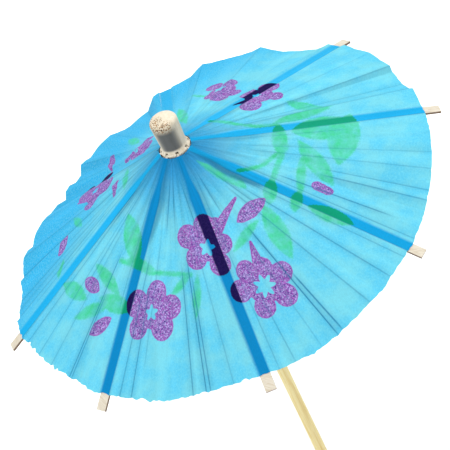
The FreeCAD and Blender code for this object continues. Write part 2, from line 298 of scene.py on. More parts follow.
def stem(p, points, half_width):
    parts = [taper(p, a, b, half_width, half_width) for a, b in zip(points, points[1:])]
    return np.minimum.reduce(parts)


def star(p, centre, radius, points, turn):
    x, y = p[0] - centre[0], p[1] - centre[1]
    angle = np.arctan2(y, x)
    return np.hypot(x, y) - radius * (1 + 0.32 * np.cos(points * angle + turn))


def flower(p, lobes, hole, heart, hole_points=5):
    """Round petals about a heart, with a star left open in the middle."""
    petals = [disc(p, (x, y), radius) for x, y, radius in lobes]
    petals.append(disc(p, heart[:2], heart[2]))
    opening = star(p, hole[:2], hole[2], hole_points, 1.0)
    return np.maximum(np.minimum.reduce(petals), -opening)


def purple_print(p):
    """Petals and buds."""
    parts = [
        flower(p, ((-4.8, -18.0, 2.35), (-4.8, -22.6, 2.35), (-0.7, -17.4, 2.2), (-0.6, -25.8, 2.3),
                   (1.6, -22.3, 2.0), (1.4, -18.6, 1.9)), (-1.9, -21.8, 1.35), (-1.3, -21.4, 3.2)),
        taper(p, (2.2, -18.9), (7.5, -14.7), 1.15, 0.3),
        leaf(p, (5.9, -19.5), (13.2, -16.3), 1.6),
        flower(p, ((3.9, -28.9, 2.1), (1.3, -32.2, 2.3), (4.8, -36.8, 2.3), (9.9, -36.1, 2.4),
                   (10.8, -31.6, 2.2), (7.6, -29.4, 1.9)), (6.4, -33.0, 1.85), (6.4, -32.8, 3.7), 7),
        taper(p, (6.9, -28.6), (7.1, -24.0), 1.2, 0.3),
        flower(p, ((-20.9, -22.9, 2.7), (-22.6, -27.3, 2.35), (-17.6, -30.6, 2.65), (-14.2, -28.2, 2.4),
                   (-15.9, -23.9, 2.4)), (-18.6, -26.7, 1.25), (-18.4, -26.6, 3.3)),
        leaf(p, (-29.5, -8.8), (-27.6, -14.4), 1.45),
        leaf(p, (-33.6, -20.3), (-27.4, -21.3), 1.55),
        taper(p, (23.8, -15.3), (25.5, -16.9), 1.15, 1.0),
        flower(p, ((21.3, 16.6, 2.2), (21.8, 11.8, 1.6), (16.5, 9.6, 2.2), (17.2, 15.4, 2.1)),
               (18.4, 13.8, 0.8), (18.8, 13.2, 2.9)),
        taper(p, (16.0, 12.2), (13.2, 11.5), 0.8, 0.15),
        flower(p, ((11.1, 28.0, 1.9), (14.4, 26.3, 1.6), (10.1, 22.3, 1.8), (14.4, 20.4, 1.7),
                   (11.3, 19.4, 2.0)),
               (12.0, 24.6, 1.1), (12.4, 23.6, 2.9)),
        flower(p, ((-23.8, 20.0, 2.4), (-22.8, 12.2, 2.2), (-18.2, 12.8, 2.3), (-17.8, 17.8, 1.8)),
               (-21.3, 15.8, 0.9), (-21.0, 15.6, 3.2)),
        taper(p, (-24.0, 16.5), (-26.6, 19.2), 0.9, 0.2),
        flower(p, ((-11.0, 16.4, 1.5), (-6.4, 11.6, 2.0), (-5.6, 15.2, 1.5)), (-8.8, 15.4, 0.6),
               (-8.4, 14.0, 2.4)),
        taper(p, (-16.0, 26.6), (-16.4, 20.8), 1.4, 0.25),
        taper(p, (-15.6, 8.0), (-16.8, 4.2), 1.0, 0.4),
        taper(p, (-33.9, 8.2), (-32.3, 10.2), 1.25, 1.25),
    ]
    return np.minimum.reduce(parts)


def green_print(p):
    """Leaves and stems."""
    parts = [
        leaf(p, (22.2, -1.4), (35.6, -1.2), 3.6),
        leaf(p, (34.6, 2.2), (29.0, -11.4), 3.0),
        leaf(p, (23.0, -4.0), (26.9, -15.9), 1.9),
        leaf(p, (20.4, 2.0), (18.8, -8.0), 1.5),
        leaf(p, (23.0, -7.5), (19.7, -17.5), 0.9),
        stem(p, ((20.5, -5.0), (18.0, -8.6), (14.8, -14.0)), 0.55),
        stem(p, ((8.0, 6.0), (11.6, 4.0), (15.8, 1.7), (20.0, 1.5)), 0.5),
        leaf(p, (19.4, 2.0), (32.4, 5.6), 1.4),
        leaf(p, (23.5, 9.0), (31.0, 4.2), 1.5),
        stem(p, ((10.0, -9.1), (14.5, -8.8), (19.0, -6.2)), 0.45),
        leaf(p, (8.0, -9.6), (10.2, -13.4), 0.9),
        leaf(p, (15.9, -11.8), (13.2, -18.0), 1.35),
        leaf(p, (20.2, -15.6), (17.4, -20.6), 1.2),
        leaf(p, (20.4, -19.6), (28.0, -25.6), 1.9),
        leaf(p, (3.0, -5.2), (9.0, -12.6), 0.75),
        leaf(p, (12.2, -17.4), (13.8, -29.8), 2.1),
        leaf(p, (10.4, -20.2), (3.0, -24.6), 0.95),
        leaf(p, (-14.8, -5.2), (-17.4, -16.4), 2.2),
        leaf(p, (-19.4, -13.2), (-14.2, -20.2), 1.1),
        stem(p, ((-20.5, -12.5), (-15.6, -19.5), (-11.0, -22.8), (-7.4, -25.0)), 0.45),
        leaf(p, (-7.2, -24.6), (-13.4, -26.6), 0.8),
        leaf(p, (-6.0, -25.6), (-10.3, -33.4), 0.95),
        leaf(p, (-34.6, -4.6), (-31.0, -13.2), 1.6),
        leaf(p, (-35.4, -14.2), (-26.8, -18.4), 1.4),
        leaf(p, (-25.9, -8.2), (-23.8, -18.6), 1.3),
        leaf(p, (-28.2, -15.4), (-22.6, -23.4), 1.8),
        leaf(p, (3.4, 8.6), (2.6, 24.6), 1.1),
        leaf(p, (-11.8, 8.8), (-13.8, 2.0), 0.9),
        leaf(p, (-28.2, 13.4), (-27.0, 7.6), 0.9),
        leaf(p, (-33.6, 3.4), (-35.4, -1.8), 0.9),
        leaf(p, (-10.4, 28.4), (-7.8, 19.0), 1.0),
        stem(p, ((6.4, 27.2), (9.2, 22.8)), 0.35),
    ]
    return np.minimum.reduce(parts)


# Materials

class Tree:
    """Short names for the nodes that the materials are made of."""

    def __init__(self, name):
        self.material = bpy.data.materials.new(name)
        self.material.use_nodes = True
        self.nodes = self.material.node_tree.nodes
        self.links = self.material.node_tree.links
        self.nodes.clear()
        self.output = self.nodes.new("ShaderNodeOutputMaterial")

    def add(self, kind, values=None, **settings):
        node = self.nodes.new("ShaderNode" + kind)
        for name, value in settings.items():
            setattr(node, name, value)
        for key, value in (values or {}).items():
            self.put(node.inputs[key], value)
        return node

    def put(self, target, value):
        if isinstance(value, bpy.types.NodeSocket):
            self.links.new(value, target)
        elif isinstance(value, (tuple, list)) and target.type == "RGBA" and len(value) == 3:
            target.default_value = (*value, 1.0)
        else:
            target.default_value = value

    def attribute(self, name, output="Fac"):
        return self.add("Attribute", attribute_name=name).outputs[output]

    def math(self, operation, a, b=0.0, c=0.0, clamp=False):
        node = self.add("Math", operation=operation, use_clamp=clamp)
        for target, value in zip(node.inputs, (a, b, c)):
            self.put(target, value)
        return node.outputs[0]

    def step(self, value, low, high):
        """0 below low and 1 above high, smooth between; the other way round where low is above high."""
        swap = low > high
        values = {"Value": value, "From Min": min(low, high), "From Max": max(low, high)}
        values["To Min"], values["To Max"] = (1.0, 0.0) if swap else (0.0, 1.0)
        return self.add("MapRange", values, interpolation_type="SMOOTHSTEP").outputs[0]

    def mix(self, share, a, b, blend="MIX"):
        node = self.add("Mix", data_type="RGBA", blend_type=blend, clamp_factor=True)
        self.put(node.inputs[0], share)
        self.put(node.inputs[6], a)
        self.put(node.inputs[7], b)
        return node.outputs[2]

    def noise(self, vector, scale, detail=2.0, rough=0.5, output="Fac"):
        values = {"Vector": vector, "Scale": scale, "Detail": detail, "Roughness": rough}
        return self.add("TexNoise", values).outputs[output]

    def scaled(self, vector, amounts):
        node = self.add("VectorMath", operation="MULTIPLY")
        self.put(node.inputs[0], vector)
        node.inputs[1].default_value = amounts
        return node.outputs[0]

    def bump(self, height, strength, distance_m):
        values = {"Height": height, "Strength": strength, "Distance": distance_m}
        return self.add("Bump", values).outputs[0]

    def surface(self, shader):
        self.links.new(shader, self.output.inputs["Surface"])
        return self.material


# How bright the studio's light is, and what makes up for shade on the tissue and on the stick
LIGHT_LEVEL = 1.6
TISSUE_GAIN = 1.42
STICK_GAIN = 1.4
BRIGHTEST = 0.97


def linear(red, green, blue, gain=1.0):
    """The shader's linear colour for one given as it looks, 0 to 255, in the studio's light.
    The gain makes up for a thing that stands in shade."""
    return tuple(min(BRIGHTEST, (x / 255) ** 2.2 * gain / LIGHT_LEVEL) for x in (red, green, blue))


def tissue_colour(red, green, blue):
    return linear(red, green, blue, TISSUE_GAIN)


PAPER_COLOUR = tissue_colour(96, 202, 231)
PAPER_PALE = tissue_colour(126, 212, 226)
# Painted shade over the far side of the canopy
PAPER_FAR_SHADE = tissue_colour(46, 180, 228)
GREEN_COLOUR = tissue_colour(78, 206, 158)
# Painted shade over the ribs, in blue and, where a leaf crosses a rib, in green
RIB_SHADE_COLOUR = tissue_colour(0, 140, 202)
RIB_SHADE_PALE = tissue_colour(26, 182, 238)
GREEN_RIB_SHADE = tissue_colour(4, 158, 98)
PURPLE_DARK = tissue_colour(80, 54, 140)
PURPLE_PALE = tissue_colour(194, 176, 232)
PURPLE_PINK = tissue_colour(162, 84, 180)
# Painted shade over the ribs, where a petal crosses a rib
PURPLE_RIB_SHADE = tissue_colour(22, 10, 74)
# Painted shade along crease lines and along one edge of each rib
SHADE_LINE_COLOUR = tissue_colour(0, 112, 160)
# Painted shade round the hub
HUB_SHADE_COLOUR = tissue_colour(0, 134, 196)
# Painted shade beside the struts
STRUT_SHADE_COLOUR = tissue_colour(0, 104, 146)


def tissue():
    """Dyed and printed tissue: fibres, creases, glittery petals and green leaves, with painted shade over the
    ribs, beside the struts, along the creases, over the far side and round the hub, and painted light and shade
    of fine wrinkles. These don't come from the light."""
    tree = Tree("printed_tissue")
    flat = tree.attribute("flat", "Vector")
    fibres = tree.noise(flat, 2.6, 6.0, 0.75)
    cloud = tree.noise(flat, 0.16, 3.0, 0.6)
    blotches = tree.noise(flat, 0.42, 4.0, 0.65)
    crossed = tree.noise(tree.scaled(flat, (6.0, 1.4, 1.0)), 1.0, 3.0, 0.7)
    wanders = tree.math("MULTIPLY", tree.math("SUBTRACT", fibres, 0.5), 0.5)
    x, y, _ = tree.add("SeparateXYZ", {"Vector": flat}).outputs
    reach = tree.math("SQRT", tree.math("ADD", tree.math("MULTIPLY", x, x), tree.math("MULTIPLY", y, y)))
    paper = tree.mix(tree.step(cloud, 0.35, 0.65), PAPER_COLOUR, PAPER_PALE)
    # Painted shade: the tissue turns a deeper blue towards the far side
    far_shade_reach = tree.math("ADD", tree.math("MULTIPLY", x, -0.55), tree.math("MULTIPLY", y, 0.84))
    paper = tree.mix(tree.step(far_shade_reach, 10.0, 33.0), paper, PAPER_FAR_SHADE)
    # Painted light and shade of fine radial wrinkles, strongest near the hub
    round_hub = tree.add("CombineXYZ", {0: tree.math("DIVIDE", x, reach), 1: tree.math("DIVIDE", y, reach),
                                        2: tree.math("MULTIPLY", reach, 0.004)}).outputs[0]
    wrinkle_shading = tree.noise(round_hub, 16.0, 4.0, 0.62)
    nearness = {"Value": reach, "From Min": 4.0, "From Max": 30.0, "To Min": 1.0, "To Max": 0.3}
    depth = tree.add("MapRange", nearness)
    wrinkle_shading = tree.math("MULTIPLY", tree.math("SUBTRACT", wrinkle_shading, 0.5), depth.outputs[0])
    purple = tree.math("ADD", tree.attribute("purple"), wanders)
    green = tree.math("ADD", tree.attribute("green"), tree.math("MULTIPLY", wanders, 2.6))
    beside = tree.attribute("rib_edge")
    # Painted shade in a band over each rib
    rib_shade_mask = tree.math("MULTIPLY", tree.step(beside, 0.22, -0.2), tree.attribute("rib_shade_shown"))
    on_rib = tree.step(beside, 0.1, -0.1)
    # Painted shade beside each rib, where its strut lies under the tissue
    strut = tree.step(tree.attribute("strut"), 0.35, -0.45)
    strut = tree.math("MULTIPLY", strut, tree.attribute("strut_shade_strength"))
    worn = tree.math("MULTIPLY_ADD", blotches, 2.2, -0.36, clamp=True)
    is_green = tree.math("MULTIPLY", tree.step(green, 0.3, -0.3), worn)
    is_purple = tree.step(purple, 0.1, -0.1)
    paper = tree.mix(tree.math("MULTIPLY", tree.step(fibres, 0.42, 0.62), 0.55), paper, PAPER_PALE)
    # Painted shade round the hub, more at the front
    paper = tree.mix(tree.attribute("hub_shade"), paper, HUB_SHADE_COLOUR)
    base = tree.mix(is_green, paper, GREEN_COLOUR)
    rib_shade = tree.mix(tree.attribute("rib_shade_depth"), RIB_SHADE_PALE, RIB_SHADE_COLOUR)
    rib_shade = tree.mix(tree.math("MULTIPLY", tree.step(green, 0.15, -0.15), 0.88), rib_shade, GREEN_RIB_SHADE)
    base = tree.mix(rib_shade_mask, base, rib_shade)
    base = tree.mix(tree.math("MULTIPLY", strut, 0.7), base, STRUT_SHADE_COLOUR)
    speckle = tree.add("TexVoronoi", {"Vector": flat, "Scale": 4.6}, feature="F1").outputs["Color"]
    grain = tree.add("SeparateColor", {"Color": speckle}).outputs
    petals = tree.mix(grain[0], PURPLE_DARK, PURPLE_PALE)
    petals = tree.mix(tree.step(grain[1], 0.55, 0.95), petals, PURPLE_PINK)
    rim = tree.step(purple, -0.45, -0.1)
    petals = tree.mix(tree.math("MULTIPLY", rim, 0.65), petals, PURPLE_PINK)
    # Petals over a rib are painted darker: painted shade
    shaded_petals = tree.mix(tree.math("MULTIPLY", grain[0], 0.16), PURPLE_RIB_SHADE, PURPLE_DARK)
    petals = tree.mix(on_rib, petals, shaded_petals)
    base = tree.mix(is_purple, base, petals)
    # Painted shade: thin dark lines along the creases and along each rib's edge on its -y side, and a softer
    # shade beside each crease
    crease_shade = tree.attribute("crease_shade")
    edge_shade = tree.step(tree.attribute("rib_line"), 0.2, 0.04)
    edge_shade = tree.math("MULTIPLY", edge_shade, tree.attribute("rib_line_shade"))
    crease = tree.math("MULTIPLY", tree.step(tree.attribute("crease"), 0.26, 0.02), crease_shade)
    soft_crease_shade = tree.math("MULTIPLY", tree.step(tree.attribute("crease"), 1.3, 0.1), crease_shade)
    dark = tree.math("MAXIMUM", edge_shade, tree.math("MAXIMUM", crease, tree.math("MULTIPLY", soft_crease_shade, 0.22)))
    base = tree.mix(tree.math("MULTIPLY", dark, 0.85), base, SHADE_LINE_COLOUR)
    # Brightness: the fibres' own tone, with the painted light and shade of the wrinkles added
    fibres_and_wrinkle_shade = tree.math("ADD", 0.68, tree.math("MULTIPLY", tree.math("ADD", fibres, crossed), 0.32))
    fibres_and_wrinkle_shade = tree.math("ADD", fibres_and_wrinkle_shade, tree.math("MULTIPLY", wrinkle_shading, 0.85))
    bright = tree.add("HueSaturation", {"Color": base, "Value": fibres_and_wrinkle_shade, "Saturation": 1.0}).outputs[0]
    height = tree.math("ADD", fibres, tree.math("MULTIPLY", grain[2], tree.math("MULTIPLY", is_purple, 0.5)))
    normal = tree.bump(height, 0.25, 0.00006)
    front = tree.add("BsdfPrincipled", {"Base Color": bright, "Roughness": 0.75, "Normal": normal})
    front.inputs["Specular IOR Level"].default_value = 0.1
    through = tree.add("BsdfTranslucent", {"Color": bright, "Normal": normal})
    both = tree.add("MixShader", {0: 0.38, 1: front.outputs[0], 2: through.outputs[0]})
    return tree.surface(both.outputs[0])


def wood(name, pale, dark, stretch, scale):
    """Grain drawn out along stretch, in the object's own millimetres."""
    tree = Tree(name)
    place = tree.scaled(tree.add("TexCoord").outputs["Object"], (1 / MM, 1 / MM, 1 / MM))
    grain = tree.noise(tree.scaled(place, stretch), scale, 5.0, 0.65)
    streaks = tree.noise(tree.scaled(place, stretch), scale * 3.1, 3.0, 0.6)
    share = tree.math("ADD", tree.math("MULTIPLY", grain, 0.65), tree.math("MULTIPLY", streaks, 0.35))
    colour = tree.mix(tree.step(share, 0.42, 0.68), pale, dark)
    return tree, place, grain, colour


def finished(tree, colour, height, rough_low, rough_high, bump_m, strength=0.35):
    rough = tree.add("MapRange", {"Value": height, "To Min": rough_low, "To Max": rough_high}).outputs[0]
    normal = tree.bump(height, strength, bump_m)
    shader = tree.add("BsdfPrincipled", {"Base Color": colour, "Roughness": rough, "Normal": normal})
    shader.inputs["Specular IOR Level"].default_value = 0.35
    return tree.surface(shader.outputs[0])


def bamboo():
    pale = linear(246, 228, 168, STICK_GAIN)
    dark = linear(228, 194, 116, STICK_GAIN)
    tree, place, grain, colour = wood("bamboo", pale, dark, (1.0, 1.0, 0.035), 2.4)
    fine = tree.noise(tree.scaled(place, (9.0, 9.0, 0.12)), 1.0, 4.0, 0.7)
    colour = tree.mix(tree.step(fine, 0.62, 0.72), colour, linear(206, 166, 90, STICK_GAIN))
    return finished(tree, colour, tree.math("ADD", grain, fine), 0.42, 0.6, 0.00008)


# Heights on the finial, where the end-grain pores and the painted shade on the front of the shaft begin and end
PORES_FROM = 99.6
PORES_FULL = 101.8
FRONT_SHADE_FROM = 96.6
FRONT_SHADE_TO = 100.4


def turned_wood():
    """Pale wood, its grain along the stick, with open dark pores where the end is cut across the grain,
    most of them on one side, and grey painted shade on the front of the shaft."""
    pale = linear(246, 236, 214)
    dark = linear(226, 212, 184)
    tree, place, grain, colour = wood("turned_wood", pale, dark, (1.0, 1.0, 0.12), 1.8)
    facing = tree.add("TexCoord").outputs["Normal"]
    face_x, face_y, _ = tree.add("SeparateXYZ", {"Vector": facing}).outputs
    x, y, z = tree.add("SeparateXYZ", {"Vector": place}).outputs
    # Pores crowd towards one side of the top, and the wood is darker there
    pore_side = tree.math("ADD", tree.math("MULTIPLY", x, -0.83), tree.math("MULTIPLY", y, -0.56))
    near_top = tree.step(z, PORES_FROM, PORES_FULL)
    crowded = tree.math("MULTIPLY", near_top, tree.step(pore_side, -1.2, 1.6))
    spots = tree.add("TexVoronoi", {"Vector": place, "Scale": 3.6}, feature="F1")
    patchy = tree.step(tree.noise(place, 0.8, 2.0, 0.5), 0.3, 0.55)
    spread = tree.math("ADD", 0.09, tree.math("MULTIPLY", tree.math("MULTIPLY", crowded, patchy), 0.42))
    pores = tree.step(tree.math("SUBTRACT", spots.outputs["Distance"], spread), 0.06, -0.05)
    pores = tree.math("MULTIPLY", pores, tree.math("ADD", 0.35, tree.math("MULTIPLY", crowded, 0.6)))
    warm = tree.mix(tree.add("SeparateColor", {"Color": spots.outputs["Color"]}).outputs[0],
                    linear(44, 34, 26), linear(176, 124, 62))
    # Painted shade: grey on the shaft's faces that turn towards -y
    front = tree.math("ADD", tree.math("MULTIPLY", face_x, -0.25), tree.math("MULTIPLY", face_y, -0.97))
    front = tree.step(front, 0.45, 0.95)
    above = tree.step(z, FRONT_SHADE_FROM - 0.5, FRONT_SHADE_FROM)
    shaft = tree.math("MULTIPLY", above, tree.step(z, PORES_FULL, FRONT_SHADE_TO))
    front_shade = tree.math("MULTIPLY", tree.math("MULTIPLY", front, shaft), 0.85)
    colour = tree.mix(tree.math("MULTIPLY", crowded, 0.25), colour, linear(206, 180, 136))
    colour = tree.mix(front_shade, colour, linear(52, 66, 78))
    colour = tree.mix(pores, colour, warm)
    return finished(tree, colour, tree.math("SUBTRACT", grain, pores), 0.55, 0.75, 0.0001)


def splint():
    """Birch splints, painted dark brown on every face that doesn't face up: painted shade on their sides, ends
    and undersides.
    """
    tree = Tree("splint")
    place = tree.scaled(tree.add("TexCoord").outputs["Object"], (1 / MM, 1 / MM, 1 / MM))
    x, y, z = tree.add("SeparateXYZ", {"Vector": place}).outputs
    out = tree.math("SQRT", tree.math("ADD", tree.math("MULTIPLY", x, x), tree.math("MULTIPLY", y, y)))
    turn = tree.math("MULTIPLY", tree.math("ARCTAN2", y, x), out)
    lined = tree.add("CombineXYZ", {0: tree.math("MULTIPLY", out, 0.08),
                                    1: tree.math("MULTIPLY", turn, 2.2), 2: z})
    grain = tree.noise(lined.outputs[0], 1.6, 5.0, 0.65)
    colour = tree.mix(tree.step(grain, 0.4, 0.7), linear(232, 224, 206), linear(206, 190, 164))
    facing = tree.add("TexCoord").outputs["Normal"]
    up = tree.add("SeparateXYZ", {"Vector": facing}).outputs[2]
    # Painted shade: faces that turn away from straight up are painted dark brown
    side = tree.step(up, 0.6, 0.25)
    colour = tree.mix(tree.math("MULTIPLY", side, 0.85), colour, linear(112, 78, 50))
    return finished(tree, colour, grain, 0.55, 0.75, 0.00006)


def thread():
    tree = Tree("cotton_thread")
    place = tree.scaled(tree.add("TexCoord").outputs["Object"], (1 / MM, 1 / MM, 1 / MM))
    x, y, z = tree.add("SeparateXYZ", {"Vector": place}).outputs
    turn = tree.math("ARCTAN2", y, x)
    wound = tree.math("ADD", tree.math("MULTIPLY", turn, 60.0), tree.math("MULTIPLY", z, 22.0))
    twist = tree.math("SINE", wound)
    fuzz = tree.noise(place, 9.0, 3.0, 0.7)
    height = tree.math("ADD", tree.math("MULTIPLY", twist, 0.5), fuzz)
    colour = tree.mix(tree.step(twist, -0.9, 0.6), linear(176, 166, 142), linear(236, 230, 214))
    return finished(tree, colour, height, 0.75, 0.95, 0.00005, 0.6)


def newsprint():
    """Grey rolled paper with soft unreadable ink smudges and the edges of its turns."""
    tree = Tree("newsprint")
    place = tree.scaled(tree.add("TexCoord").outputs["Object"], (1 / MM, 1 / MM, 1 / MM))
    pulp = tree.noise(place, 5.0, 5.0, 0.7)
    smudge = tree.noise(tree.scaled(place, (1.0, 1.0, 2.6)), 1.3, 4.0, 0.7)
    colour = tree.mix(pulp, linear(214, 206, 186), linear(188, 180, 162))
    inked = tree.math("MULTIPLY", tree.step(smudge, 0.52, 0.66), 0.5)
    colour = tree.mix(inked, colour, linear(104, 102, 100))
    return finished(tree, colour, pulp, 0.8, 0.95, 0.00008)


def ring_plastic():
    tree = Tree("ring_plastic")
    place = tree.scaled(tree.add("TexCoord").outputs["Object"], (1 / MM, 1 / MM, 1 / MM))
    mottle = tree.noise(place, 1.1, 3.0, 0.5)
    colour = tree.mix(mottle, linear(244, 243, 236), linear(228, 226, 216))
    return finished(tree, colour, mottle, 0.3, 0.45, 0.00004)


def pin_wire():
    tree = Tree("pin_wire")
    place = tree.scaled(tree.add("TexCoord").outputs["Object"], (1 / MM, 1 / MM, 1 / MM))
    drawn = tree.noise(place, 6.0, 3.0, 0.6)
    colour = tree.mix(drawn, linear(170, 168, 162), linear(128, 124, 118))
    rough = tree.add("MapRange", {"Value": drawn, "To Min": 0.3, "To Max": 0.5}).outputs[0]
    shader = tree.add("BsdfPrincipled", {"Base Color": colour, "Roughness": rough, "Metallic": 1.0})
    return tree.surface(shader.outputs[0])


# Camera, lights and floor

AIM = Vector((2.7, -10.2, 81.3)) * MM
CAMERA_DISTANCE = 0.572
CAMERA_BEARING = math.radians(3.3)
CAMERA_ELEVATION = math.radians(37.98)
CAMERA_ROLL = math.radians(-25.55)
LENS_MM = 241.7
FLOOR_HALF_WIDTH_M = 4.0
FLOOR_BELOW_TIP_M = 0.0002


def make_camera():
    data = bpy.data.cameras.new("camera")
    data.lens = LENS_MM
    data.sensor_width = 36
    data.clip_start = 0.01
    data.clip_end = 20
    camera = bpy.data.objects.new("camera", data)
    bpy.context.scene.collection.objects.link(camera)
    level = math.cos(CAMERA_ELEVATION)
    height = math.sin(CAMERA_ELEVATION)
    towards = Vector((level * math.sin(CAMERA_BEARING), -level * math.cos(CAMERA_BEARING), height))
    forward = -towards
    right = forward.cross(Vector((0, 0, 1))).normalized()
    up = right.cross(forward)
    turned_right = math.cos(CAMERA_ROLL) * right + math.sin(CAMERA_ROLL) * up
    turned_up = turned_right.cross(forward)
    axes = Matrix((turned_right, turned_up, towards)).transposed().to_4x4()
    camera.matrix_world = Matrix.Translation(AIM + towards * CAMERA_DISTANCE) @ axes
    bpy.context.scene.camera = camera


def area_light(name, bearing_degrees, elevation_degrees, distance, size, watts, colour=(1, 1, 1)):
    data = bpy.data.lights.new(name, "AREA")
    data.shape = "DISK"
    data.size = size
    data.energy = watts
    data.color = colour
    light = bpy.data.objects.new(name, data)
    bpy.context.scene.collection.objects.link(light)
    bearing, elevation = math.radians(bearing_degrees), math.radians(elevation_degrees)
    level = math.cos(elevation)
    away = Vector((level * math.cos(bearing), level * math.sin(bearing), math.sin(elevation)))
    light.location = AIM + away * distance
    light.rotation_euler = away.to_track_quat("Z", "Y").to_euler()


def make_stage():
    bpy.context.scene.view_settings.view_transform = "Standard"
    world = bpy.data.worlds.new("studio")
    world.use_nodes = True
    background = world.node_tree.nodes["Background"]
    background.inputs["Color"].default_value = (1.0, 1.0, 1.0, 1.0)
    background.inputs["Strength"].default_value = 0.5
    bpy.context.scene.world = world
    area_light("top", 270, 87, 1.0, 1.6, 17.5)
    area_light("right", 25, 38, 0.9, 0.7, 3.4, (1.0, 0.98, 0.95))
    area_light("left", 195, 25, 1.1, 1.0, 3.8, (0.96, 0.98, 1.0))
    mesh = bpy.data.meshes.new("floor")
    half = FLOOR_HALF_WIDTH_M
    low = cad_box[0].z - FLOOR_BELOW_TIP_M
    corners = [(-half, -half, low), (half, -half, low), (half, half, low), (-half, half, low)]
    mesh.from_pydata(corners, [], [(0, 1, 2, 3)])
    floor = bpy.data.objects.new("floor", mesh)
    bpy.context.scene.collection.objects.link(floor)
    tree = Tree("floor")
    shader = tree.add("BsdfPrincipled", {"Base Color": (0.93, 0.93, 0.93), "Roughness": 0.9})
    mesh.materials.append(tree.surface(shader.outputs[0]))


# The canopy

def grid_faces(rows, columns, offset, flipped):
    at = offset + np.arange(rows * columns).reshape(rows, columns)
    quads = np.stack([at[:-1, :-1], at[:-1, 1:], at[1:, 1:], at[1:, :-1]], -1).reshape(-1, 4)
    return quads[:, ::-1] if flipped else quads


def wall_faces(rows, columns, flipped):
    """Joins the two faces of the tissue round its edge."""
    at = np.arange(rows * columns).reshape(rows, columns)
    loop = np.concatenate([at[0, :], at[1:, -1], at[-1, -2::-1], at[-2:0:-1, 0]])
    following = np.roll(loop, -1)
    below = rows * columns
    quads = np.stack([following, loop, loop + below, following + below], -1)
    return quads[:, ::-1] if flipped else quads


def sheet_mesh(name, middle, fields, material):
    """A thin closed sheet about a grid of points, with the print's fields stored on it."""
    rows, columns = middle.shape[:2]
    out = np.cross(np.gradient(middle, axis=1), np.gradient(middle, axis=0))
    out /= np.linalg.norm(out, axis=-1, keepdims=True)
    up_is_out = out[rows // 2, columns // 2, 2] > 0
    out = out if up_is_out else -out
    half = PAPER_THICKNESS / 2
    points = np.concatenate([(middle + half * out).reshape(-1, 3), (middle - half * out).reshape(-1, 3)])
    quads = np.concatenate([
        grid_faces(rows, columns, 0, up_is_out),
        grid_faces(rows, columns, rows * columns, not up_is_out),
        wall_faces(rows, columns, up_is_out),
    ])
    mesh = bpy.data.meshes.new(name)
    mesh.from_pydata((points * MM).tolist(), [], quads.tolist())
    mesh.polygons.foreach_set("use_smooth", np.ones(len(quads), bool))
    for field, values in fields.items():
        kind = "FLOAT_VECTOR" if values.ndim == 3 else "FLOAT"
        attribute = mesh.attributes.new(field, kind, "POINT")
        flat = values.reshape(-1, 3) if values.ndim == 3 else values.reshape(-1)
        both = np.concatenate([flat, flat]).astype(np.float32)
        attribute.data.foreach_set("vector" if values.ndim == 3 else "value", both.ravel())
    mesh.validate()
    mesh.update()
    mesh.set_sharp_from_angle(angle=SHARP_EDGE)
    mesh.materials.append(material)
    piece = bpy.data.objects.new(name, mesh)
    bpy.context.scene.collection.objects.link(piece)
    return piece


def print_fields(index, points, along, bearing, gap, share, gap_angle):
    """What the tissue's material needs at each point: the print, the creases and the rib under it."""
    rib = ribs[index]
    radius = hinge_radius + along
    flat = np.stack([radius * np.cos(bearing), radius * np.sin(bearing), 0 * radius], -1)
    plan = (flat[..., 0], flat[..., 1])
    _, across, _ = directions(np.float64(rib["bearing"]), np.float64(rib["slope"]))
    sideways = (points - rib["hinge"]) @ across
    front = -1.0 if across[1] > 0 else 1.0
    to_edge = np.abs(sideways) - rib_half_width(along)
    to_edge = np.where(front * sideways > 0, to_edge, BACK_EDGE_SOFTNESS * to_edge)
    to_front_edge = front * sideways - rib_half_width(along)
    if gap is None:
        crease, crease_shade = np.full(along.shape, FAR_FROM_CREASE), np.zeros(along.shape)
    else:
        crease, crease_shade = crease_field(gap, share, along, gap_angle)
    forward = np.clip(0.5 - 0.8 * np.sin(bearing), 0, 1)
    hub_shade = smooth((HUB_SHADE_END - along) / HUB_SHADE_END)
    hub_shade *= HUB_SHADE_BACK + (HUB_SHADE_FRONT - HUB_SHADE_BACK) * forward
    middle = STRUT_SHADE_END / 2
    bulge = STRUT_SHADE_WIDTH * np.clip(1 - ((along - middle) / middle) ** 2, 0, 1)
    strut = np.abs(to_front_edge - 0.6 * bulge) - bulge
    end = smooth((STRUT_SHADE_END - along) / 4)
    return {
        "flat": flat,
        "purple": purple_print(plan),
        "green": green_print(plan),
        "crease": crease,
        "crease_shade": crease_shade,
        "rib_edge": to_edge,
        "rib_shade_shown": np.full(along.shape, RIB_SHADE_SHOWN[index]),
        "rib_shade_depth": np.full(along.shape, RIB_SHADE_DEPTH[index]),
        "hub_shade": hub_shade,
        "rib_line": np.abs(to_front_edge),
        "rib_line_shade": np.full(along.shape, 0.85 * abs(across[1])) * smooth(along / 12),
        "strut": strut,
        "strut_shade_strength": STRUT_SHADE[index] * end,
    }


def strip_piece(index, material):
    along = np.linspace(PAPER_START, PAPER_END, ROWS)[:, None] * np.ones(STRIP_COLUMNS + 1)
    across = np.linspace(-1, 1, STRIP_COLUMNS + 1)
    left, right = (strip_half_width(index, side, along) for side in (-1, 1))
    sideways = np.where(across < 0, left, right) * across
    radius = hinge_radius + along * math.cos(ribs[index]["slope"])
    bearing = ribs[index]["bearing"] + np.arctan2(sideways, radius)
    along = stretched(along, bearing)
    points = rib_point(index, along, sideways, np.full(along.shape, PAPER_LIFT))
    fields = print_fields(index, points, along, bearing, None, None, None)
    return sheet_mesh(f"canopy_strip_{index + 1}", points, fields, material)


